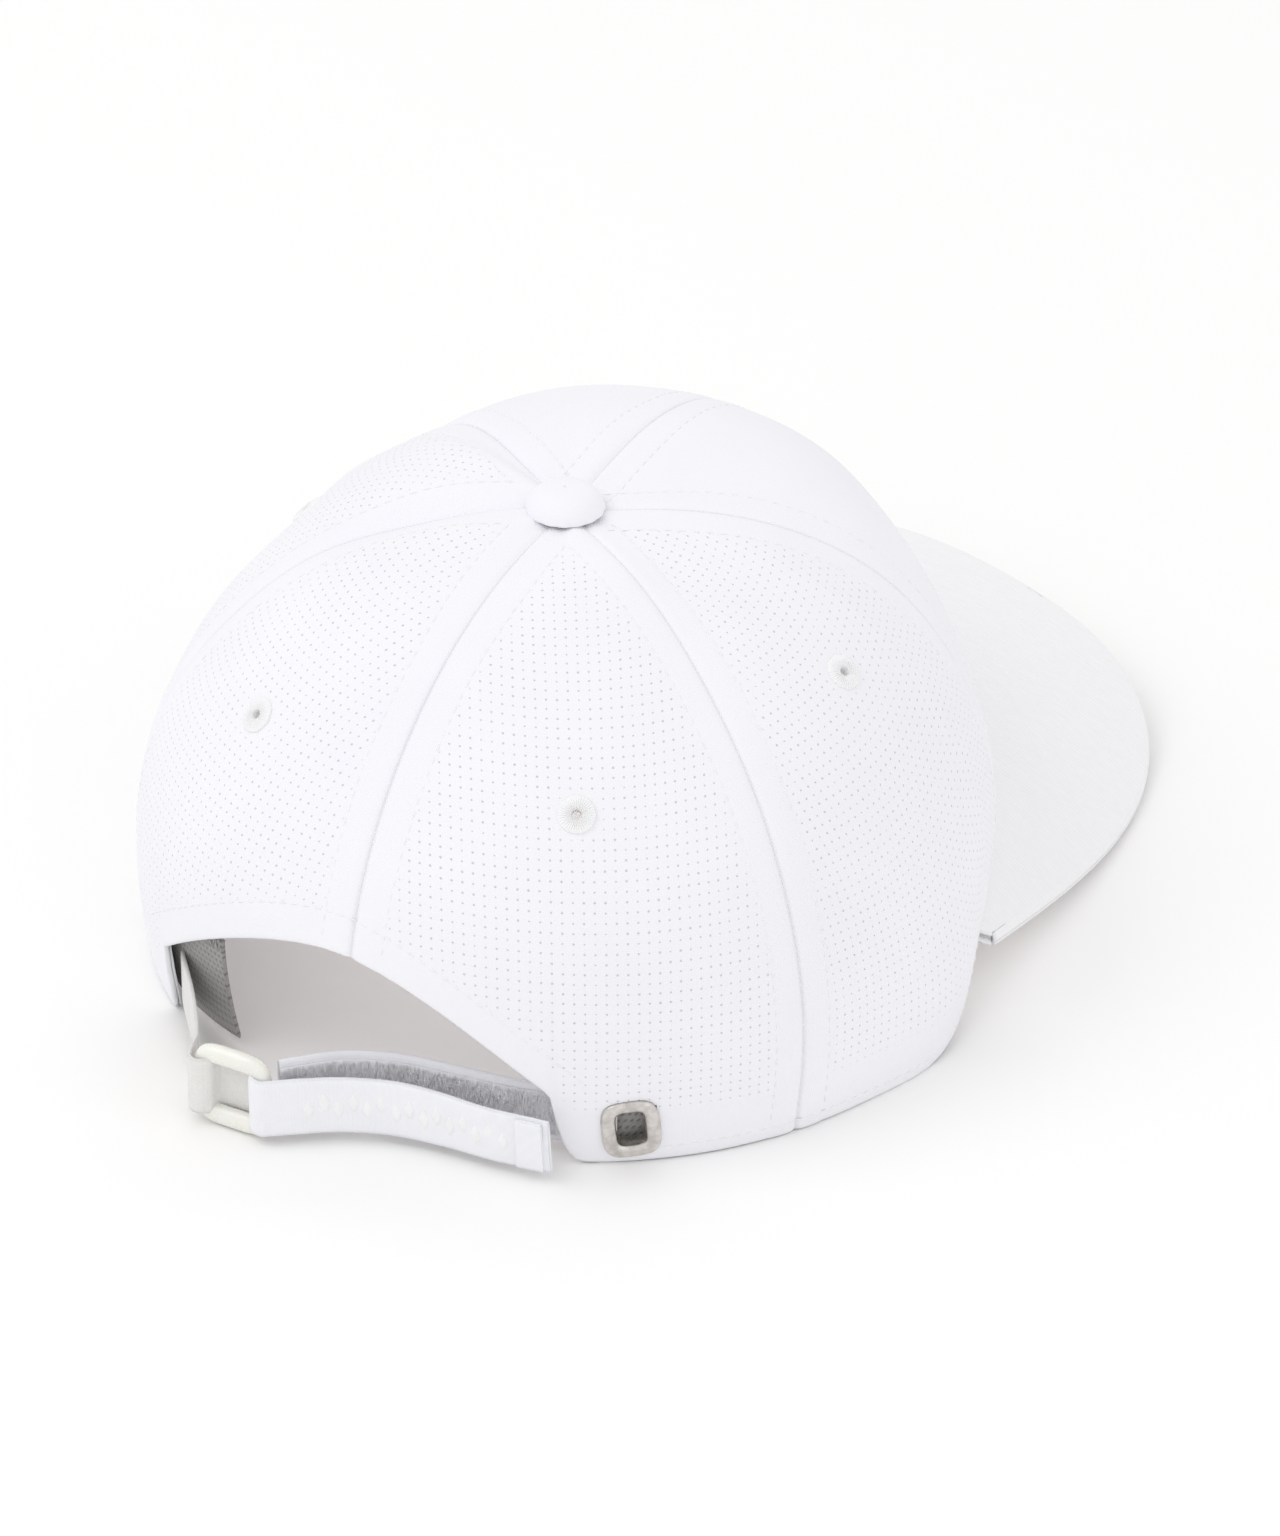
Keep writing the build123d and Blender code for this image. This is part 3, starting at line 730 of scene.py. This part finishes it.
def overlock(stations=460, reach=2.6):
    """A zigzag of thread over both faces of the sweatband's top edge."""
    angles = np.linspace(BAND_RIGHT, BAND_LOOSE, stations)
    insets = band_inset(angles)[:-1]
    edges = above_rim(BAND_TOP)(angles)[:-1] - 0.2 / PANEL_LENGTH
    lows = edges - reach / PANEL_LENGTH
    upward = np.arange(stations - 1) % 2 == 0
    runs = []
    for depth in (0.08 - insets, -insets - BAND_THICKNESS - 0.08):
        starts = crown(angles[:-1], np.where(upward, lows, edges), depth, sewn=False)
        ends = crown(angles[1:], np.where(upward, edges, lows), depth, sewn=False)
        runs.append(stitch_mesh(starts, ends, outward(angles[:-1], edges)))
    return join_runs(runs)


new_object("sweatband_overlock", *overlock(), GREY_THREAD, "sweatband_mesh")


# ---- visor
def visor_edges(cols):
    """Matching points along the crown's root line and the visor's outline."""
    swing = np.linspace(-pi / 2, pi / 2, 4001)
    power = 2 / VISOR["squareness"]
    x = VISOR["half_width"] * np.sign(np.sin(swing)) * np.abs(np.sin(swing)) ** power
    depth = HALF_LENGTH + VISOR["reach"] - VISOR["root_y"]
    ahead = VISOR["root_y"] + depth * np.abs(np.cos(swing)) ** power
    outline = np.stack([x, CENTRE_Y - ahead], 1)
    root = plan_point(np.linspace(-VISOR["end_angle"], VISOR["end_angle"], 2001))
    root = APEX + (root - APEX) * 0.985          # just inside the crown's cloth
    return even_curve(root, cols), even_curve(outline, cols)


def visor_warp(x, y):
    """Gentle waves of a visor that has been worn."""
    reach = np.clip((CENTRE_Y - y - HALF_LENGTH) / VISOR["reach"], -1, 1)
    return 0.55 * np.sin(x / 21 + 0.6) * reach + 0.3 * np.sin(x / 9.5 + reach * 2) * reach


def visor_profile(rows):
    """Section of half the visor's cloth: (share of the way out, distance past the edge, depth)."""
    half, cloth, edge = VISOR["thickness"] / 2, VISOR["cloth"], VISOR["edge"]
    shares = np.linspace(0, 1, rows)
    roll = np.linspace(0, pi / 2, 8)[1:]
    profile = [(share, 0.0, 0.0) for share in shares]
    profile += [(1, edge * sin(t), half * (1 - cos(t))) for t in roll]
    profile += [(1, (edge - cloth) * sin(t), cloth + (half - cloth) * (1 - cos(t))) for t in roll[::-1]]
    profile += [(share, 0.0, cloth) for share in shares[::-1]]
    return profile


def visor_layer(name, node, from_top, cols=220, rows=46):
    """Half of the visor's cloth, from its root out to the edge and back inside its own thickness."""
    root, outline = visor_edges(cols)
    profile = visor_profile(rows)
    out = unit(np.stack([-np.gradient(outline[:, 1]), np.gradient(outline[:, 0])], 1))
    inside = [0, CENTRE_Y - 100]
    out = out * np.sign(np.sum(out * (outline - inside), axis=1, keepdims=True))
    rings = []
    for share, beyond, depth in profile:
        flat = root + (outline - root) * share + out * (beyond - VISOR["edge"] * share ** 6)
        z = visor_top(flat[:, 0], flat[:, 1]) + visor_warp(flat[:, 0], flat[:, 1])
        z = z - (depth if from_top else VISOR["thickness"] - depth)
        rings.append(np.concatenate([flat, z[:, None]], 1))
    table = np.concatenate(rings)
    table[:, 2] = np.maximum(table[:, 2], 0.0)
    faces = shell_faces(len(profile), cols)
    if not from_top:
        faces = [face[::-1] for face in faces]
    coords = np.concatenate([table[:, :2], np.ones((len(table), 1))], 1)
    new_object(name, table, faces, RIBBED, "visor_cloth", replaces=[node], coords=coords)


visor_layer("visor_top_fabric", "visor_top_cloth", True)
visor_layer("visor_under_fabric", "visor_under_cloth", False)


# ---- button
def button_mesh(sides=96, gathers=16, turned_in=1.5, cloth=0.8):
    """The covered button: cloth over its dome, gathered under its edge and back up inside."""
    low, high = [np.array(corner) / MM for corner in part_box("button_cover")]
    centre = (low + high) / 2
    radius, dome = (high[0] - low[0]) / 2, high[2] - low[2]

    def dome_z(share, height):
        return low[2] + height * (1 - share ** 3.2) ** 0.62

    profile = []                                  # (radius, height, how gathered)
    for i, t in enumerate(np.linspace(0, 1, 22)):
        share = max(sin(t * pi / 2) ** 0.9, 1e-4)
        profile.append((radius * share, dome_z(share, dome), max(0, min(1, (i - 15) / 6))))
    for t in np.linspace(0.15, 1, 5):
        profile.append((radius - turned_in * t, low[2] - 0.15 * sin(t * pi), 1))
    for i, t in enumerate(np.linspace(0, 1, 14)):
        inner = (radius - turned_in) * (1 - t) + 0.001
        profile.append((inner, dome_z(inner / radius, dome - cloth), 1 if i == 0 else 0))
    points = []
    for k in range(sides):
        turn = 2 * pi * k / sides
        for r, z, gathered in profile:
            r = r * (1 + 0.012 * gathered * sin(turn * gathers))
            points.append((centre[0] + r * cos(turn), centre[1] + r * sin(turn), z))
    return points, grid_faces(sides, len(profile), close_rows=True, close_cols=True)


new_object("button_fabric", *button_mesh(), CROWN, "crown_cloth", replaces=["button_cover"])


# ---- eyelets
def eyelet_mesh(angle, height, ridges=38, sides=304):
    """One embroidered ring: radial satin stitches round a small hole, and its neck through the cloth."""
    centre, level, climb, normal = seat(angle, height, sewn=True)
    profile = []                                  # (radius, rise, how ribbed)
    for t in np.linspace(0, 1, 15):
        profile.append((EYELET_RIM - 3.1 * t, 0.85 * sin(pi * (0.06 + 0.78 * t)) ** 0.75, 1.0))
    profile += [(1.0, -1.6, 0.0), (1.6, -1.9, 0.0), (2.8, -1.9, 0.0), (2.8, -0.7, 0.0), (4.1, -0.5, 0.2)]
    uneven = rng.uniform(-0.14, 0.14, ridges)
    points = []
    for k in range(sides):
        turn = 2 * pi * k / sides
        ridge = abs(cos(turn * ridges / 2))
        longer = uneven[int(k * ridges / sides + 0.5) % ridges]
        for radius, rise, ribbed in profile:
            outer = max(0, (radius - 2.6) / 1.9)
            r = radius + ribbed * outer * longer * (0.4 + 0.6 * ridge)
            h = rise * (1 - ribbed * 0.34 * (1 - ridge))
            points.append(centre + (level * cos(turn) + climb * sin(turn)) * r + normal * h)
    return points, grid_faces(sides, len(profile), close_rows=True, close_cols=True)


eyelet_rings = join_runs([eyelet_mesh(*place) for place in EYELETS.values()])
new_object("eyelet_rings", *eyelet_rings, THREAD, "thread", replaces=["eyelets"])


# ---- grommet
def signed_power(value, power):
    return abs(value) ** power * (1 if value >= 0 else -1)


def rounded_outline(width, height, corner, turn):
    """A point on a rounded rectangle, by the direction from its centre."""
    power = 2 / (2 + 5 * (1 - corner / (min(width, height) / 2)))
    shape = np.array([signed_power(cos(turn), power), signed_power(sin(turn), power)])
    return np.array([width / 2, height / 2]) * shape


def grommet_mesh(outer=(13, 16, 4.6), inner=(6.4, 10, 1.6), tilt=radians(6), sides=160):
    """A plate between two rounded rectangles, rolled over its edges and down through the cloth."""
    outside = [(0, -0.1), (0, 0.35), (0.03, 0.62), (0.12, 0.86), (0.25, 0.95), (0.6, 0.9), (0.8, 0.78)]
    neck = [(0.93, 0.45), (1, 0.0), (1, -2.9), (0.8, -2.9), (0.78, -0.1)]
    profile = outside + neck                      # (share of the way inward, rise)
    centre, level, climb, normal = seat(*GROMMET)
    level, climb = level * cos(tilt) + climb * sin(tilt), climb * cos(tilt) - level * sin(tilt)
    points = []
    for k in range(sides):
        turn = 2 * pi * (k + 0.5) / sides
        a, b = rounded_outline(*outer, turn), rounded_outline(*inner, turn)
        for share, rise in profile:
            x, y = a + (b - a) * share
            points.append(centre + level * x + climb * y + normal * rise)
    return points, grid_faces(sides, len(profile), close_rows=True, close_cols=True)


new_object("grommet_plate", *grommet_mesh(), NICKEL, "grommet_metal", replaces=["grommet_front"])


# ---- strap
STRAP_LOW, STRAP_WIDTH, STRAP_THICKNESS = 3.4, 14.0, 1.2
BASE_LOW, TAIL_LOW = STRAP_LOW + 0.7, STRAP_LOW - 0.8
PAD_MARGIN, PAD_OFFSET = 1.6, -1.0          # in from the strap's edges, out from its middle
RING_BAR = (15.5, 107.5)                    # the bar that the tail turns round, from the cap's centre
TURN_RADIUS = 2.75
BASE_ROUTE = [(-50.5, 76.2), (-44, 80), (-34, 83), (-20, 85.2), (-7, 87.4), (4, 92.4), (11, 99), (14.6, 103)]
TAIL_ROUTE = [(8, 105.2), (0, 99.6), (-10, 95.4), (-22, 93.4), (-34, 92.6), (-47, 90.2)]
TAB_ROUTE = [(56.5, 75.6), (50, 83.5), (43, 92), (37, 101), (34.9, 106.2), (33.4, 109.6), (31, 110.5),
             (28.7, 109), (28.4, 107), (27.2, 105.6), (23, 105.2), (18.8, 105.4)]
OUTER_PILE = slice(16, 29)                  # the points of a band's section that lie on its outer face


def from_centre(route):
    return [(x, CENTRE_Y + y) for x, y in route]


def strap_line(route, stations):
    """Even points along a route seen from above, and the direction across it at each."""
    line = smooth_route(route, stations)
    tangent = unit(np.gradient(line, axis=0))
    return line, np.stack([tangent[:, 1], -tangent[:, 0]], 1)


def band(route, bottom, width=STRAP_WIDTH, thickness=STRAP_THICKNESS, stations=160, lean=None, wobble=0.0,
         offset=0.0):
    """A woven strap on edge: a rounded section carried along a route seen from above."""
    line, side = strap_line(route, stations)
    up = np.linspace(-1, 1, 15)
    half = thickness / 2 * (1 - 0.25 * up ** 12)
    section = list(zip(half, up)) + list(zip(-half, up))[::-1]
    share = np.linspace(0, 1, stations)
    rings = []
    for out, t in section:
        raised = (t + 1) / 2
        tip = (lean(share) if lean else np.zeros(stations)) * raised
        sway = wobble * np.sin(share * 17 + t * 1.4) * raised
        xy = line + side * (out + offset + tip + sway)[:, None]
        z = np.full(stations, bottom + width * raised)
        rings.append(np.concatenate([xy, z[:, None]], 1))
    return np.stack(rings, 1).reshape(-1, 3), tube_faces(stations, len(section))


def pile_band(route, bottom, stations=420, thickness=0.7, lean=None):
    """A hook or loop pad: a thin band whose outer face is broken into small tufts."""
    width = STRAP_WIDTH - 2 * PAD_MARGIN
    points, faces = band(route, bottom + PAD_MARGIN, width, thickness, stations, lean, offset=PAD_OFFSET)
    _, side = strap_line(route, stations)
    table = points.reshape(stations, -1, 3)
    tufts = rng.uniform(-0.22, 0.3, table[:, OUTER_PILE].shape[:2])
    table[:, OUTER_PILE, :2] += side[:, None, :] * tufts[..., None]
    return table.reshape(-1, 3), faces


def tail_turn():
    """The strap's turn round the ring bar."""
    turns = np.radians(np.linspace(-76, 120, 10))
    return [(RING_BAR[0] + TURN_RADIUS * cos(t), RING_BAR[1] + TURN_RADIUS * sin(t)) for t in turns]


TAIL = from_centre(tail_turn() + TAIL_ROUTE)
TAIL_STATIONS = 220
TAIL_LINE, TAIL_SIDE = strap_line(TAIL, TAIL_STATIONS)


def tail_lean(share):
    """How far the tail's upper edge leans out, more towards its end."""
    return 2.0 * ramp(share, 0.35, 0.65) ** 1.5


def tail_part(first, last):
    """A stretch of the tail by shares of its length: its route and its lean."""
    end = len(TAIL_LINE) - 1
    route = [tuple(point) for point in TAIL_LINE[int(first * end):int(last * end) + 1:6]]
    return route, lambda share: tail_lean(first + (last - first) * share)


def tonal_row(first=0.26, last=0.86, count=15, half_width=1.25, half_height=2.6, sides=24):
    """A row of small raised lozenges in the strap's own colour."""
    rings = ((1.0, -0.1), (0.86, 0.12), (0.45, 0.2), (0.01, 0.22))      # (size, rise)
    points, faces = [], []
    for k in range(count):
        share = first + (last - first) * k / (count - 1)
        i = int(share * (len(TAIL_LINE) - 1))
        lean = tail_lean(share)
        side = np.array([*TAIL_SIDE[i], 0.0])
        along = np.array([-side[1], side[0], 0.0])
        up = np.array([0.0, 0.0, 1.0]) + side * lean / STRAP_WIDTH
        centre = np.array([*TAIL_LINE[i], TAIL_LOW + STRAP_WIDTH * (0.56 if k % 2 else 0.44)])
        centre = centre + side * (STRAP_THICKNESS / 2 + 0.02 + lean * 0.5)
        base = len(points)
        for size, rise in rings:
            for turn in np.linspace(0, 2 * pi, sides, endpoint=False):
                a = half_width * size * signed_power(cos(turn), 1.6)
                b = half_height * size * signed_power(sin(turn), 1.6)
                points.append(centre + along * a + up * b + side * rise)
        faces += grid_faces(len(rings), sides, base, close_cols=True)
    return points, faces


def bending_piece(name, mesh, material, slot, node):
    """A curved piece of the strap between the cap and the ring; it joins no body and its transform is baked
    in.
    """
    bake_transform(new_object(name, *mesh, material, slot, None, [node]))


bending_piece("strap_base_band", band(from_centre(BASE_ROUTE), BASE_LOW), WEBBING, "webbing", "strap_base")
bending_piece("strap_loop_pile", pile_band(from_centre(BASE_ROUTE[1:]), BASE_LOW), PILE, "loop_pile",
              "strap_loop_pad")

tail_mesh = band(TAIL, TAIL_LOW, stations=TAIL_STATIONS, lean=tail_lean, wobble=0.15)
new_object("strap_tail_band", *tail_mesh, WEBBING, "webbing", "strap_end", ["strap_tail"])
hook_route, hook_lean = tail_part(0.45, 0.93)
hook_mesh = pile_band(hook_route, TAIL_LOW, 260, 0.6, hook_lean)
new_object("strap_hook_pile", *hook_mesh, PILE, "loop_pile", "strap_end", ["strap_hook_pad"])
hem_route, hem_lean = tail_part(0.90, 1.0)
hem_mesh = band(hem_route, TAIL_LOW + 0.3, STRAP_WIDTH - 0.6, 1.0, 40, hem_lean, offset=1.0)
new_object("strap_end_hem", *hem_mesh, WEBBING, "webbing", "strap_end")
new_object("strap_tonal_row", *tonal_row(), THREAD, "thread", "strap_end")

tab_mesh = band(from_centre(TAB_ROUTE), STRAP_LOW, thickness=0.95, stations=200, wobble=0.1)
new_object("ring_tab_band", *tab_mesh, TAB, "tab_webbing", replaces=["ring_tab"])


# ---- ring
def ring_mesh(sides=28, stations=220, bar=1.9, rail=2.3, corner=3.2):
    """A rounded rectangular loop standing on edge, with a round section that deepens on its long bars."""
    low, high = [np.array(box_corner) / MM for box_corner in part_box("strap_ring")]
    centre = (low + high) / 2
    width, height = high[0] - low[0] - 2 * bar, high[2] - low[2] - 2 * rail
    path = [rounded_outline(width, height, corner, 2 * pi * (k + 0.5) / stations) for k in range(stations)]
    path = even_curve(np.array(path + path[:1]), stations + 1)[:-1]
    points = []
    for k, here in enumerate(path):
        tangent = unit(path[(k + 1) % stations] - path[k - 1])
        across = np.array([tangent[1], -tangent[0]])
        reach = bar + (rail - bar) * abs(tangent[0]) ** 2
        for j in range(sides):
            turn = 2 * pi * j / sides
            x, z = here + across * reach * signed_power(cos(turn), 0.9)
            points.append((centre[0] + x, centre[1] + bar * sin(turn), centre[2] + z))
    return points, grid_faces(stations, sides, close_rows=True, close_cols=True)


new_object("ring_loop", *ring_mesh(), RING, "ring_plastic", "ring", ["strap_ring"])


# ---- topstitching
def stitched_line(angles, heights):
    """Points and normals of a row of stitches that lies on the cloth."""
    return crown(angles, heights, 0.02), outward(angles, heights)


def beside_seam(angle, offset, stations=420):
    """The row at one side of a seam, from the cloth's edge to just short of the button."""
    foot = low_edge(np.array([float(angle)]), rise=2.0)[0] + IN_STEP
    heights = np.linspace(foot, 0.94, stations)
    turn = angle + np.degrees(offset / crown_radius(np.full(stations, float(angle)), heights))
    keep = heights > low_edge(turn) + IN_STEP
    return stitched_line(turn[keep], heights[keep])


def above_edge(first, last, stations, grow, rise):
    """The row along the rim or round the back opening."""
    angles = np.linspace(first, last, stations)
    return stitched_line(angles, low_edge(angles, grow) + rise)


rows = [beside_seam(seam, offset) for seam in range(0, 360, SEAM_STEP)
        for offset in (-SEAM_ALLOWANCE, SEAM_ALLOWANCE)]
rows += [above_edge(*span, 400, 0.0, 2.0 / PANEL_LENGTH) for span in ((76, 138), (213, 284))]
rows.append(above_edge(139, 211, 500, ARCH_HEM + 0.7, 0.010))
new_object("crown_topstitch", *join_runs([run_of_stitches(*row) for row in rows]), THREAD, "thread")


# ---- CAD pieces that stay
KEPT = {"visor_board": BOARD, "button_cap": STAMPED, "button_stud": STAMPED, "grommet_washer": NICKEL}
for node, material in KEPT.items():
    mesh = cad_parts[node].data
    for i in range(len(mesh.materials)):
        mesh.materials[i] = material


# ---- floor, light and camera
def pale_floor(size=6.0):
    mesh = bpy.data.meshes.new("floor")
    corners = [(-size, -size, 0), (size, -size, 0), (size, size, 0), (-size, size, 0)]
    mesh.from_pydata(corners, [], [(0, 1, 2, 3)])
    paper = Nodes("floor_paper")
    paper.set_shader(Base_Color=(0.96, 0.955, 0.95, 1), Roughness=0.9, Specular_IOR_Level=0.1)
    mesh.materials.append(paper.material)
    place_object("floor", mesh)


def white_world(strength=0.92):
    world = bpy.data.worlds.new("studio")
    world.use_nodes = True
    background = world.node_tree.nodes["Background"]
    background.inputs["Color"].default_value = (1.0, 1.0, 1.0, 1)
    background.inputs["Strength"].default_value = strength
    bpy.context.scene.world = world


def soft_light(name, place, size, power, target=(0, 0, 0.05)):
    light = bpy.data.lights.new(name, "AREA")
    light.size, light.energy = size, power
    place_object(name, light, place, target)


def cloth_glow(place=(0.0, 0.0, 0.062)):
    """The light that thin white cloth lets through to the inside of the crown."""
    glow = bpy.data.lights.new("through_cloth", "POINT")
    glow.energy, glow.shadow_soft_size, glow.color = 0.075, 0.03, (1.0, 0.94, 0.92)
    place_object("through_cloth", glow, place)


def long_lens(place=(-0.9955, 1.7035, 1.2773), target=(0.0, -0.0069, 0.0263), lens=242.6):
    """The camera, behind the cap, above it and to the wearer's right."""
    camera = bpy.data.cameras.new("camera")
    camera.sensor_width, camera.lens = 36.0, lens
    camera.clip_start, camera.clip_end = 0.05, 50.0
    bpy.context.scene.camera = place_object("camera", camera, place, target)


pale_floor()
white_world()
soft_light("key", (0.9, 0.9, 1.7), 1.2, 7.0)
soft_light("fill", (-1.6, 0.4, 1.0), 1.6, 2.0)
cloth_glow()
long_lens()
bpy.context.scene.view_settings.view_transform = "Standard"
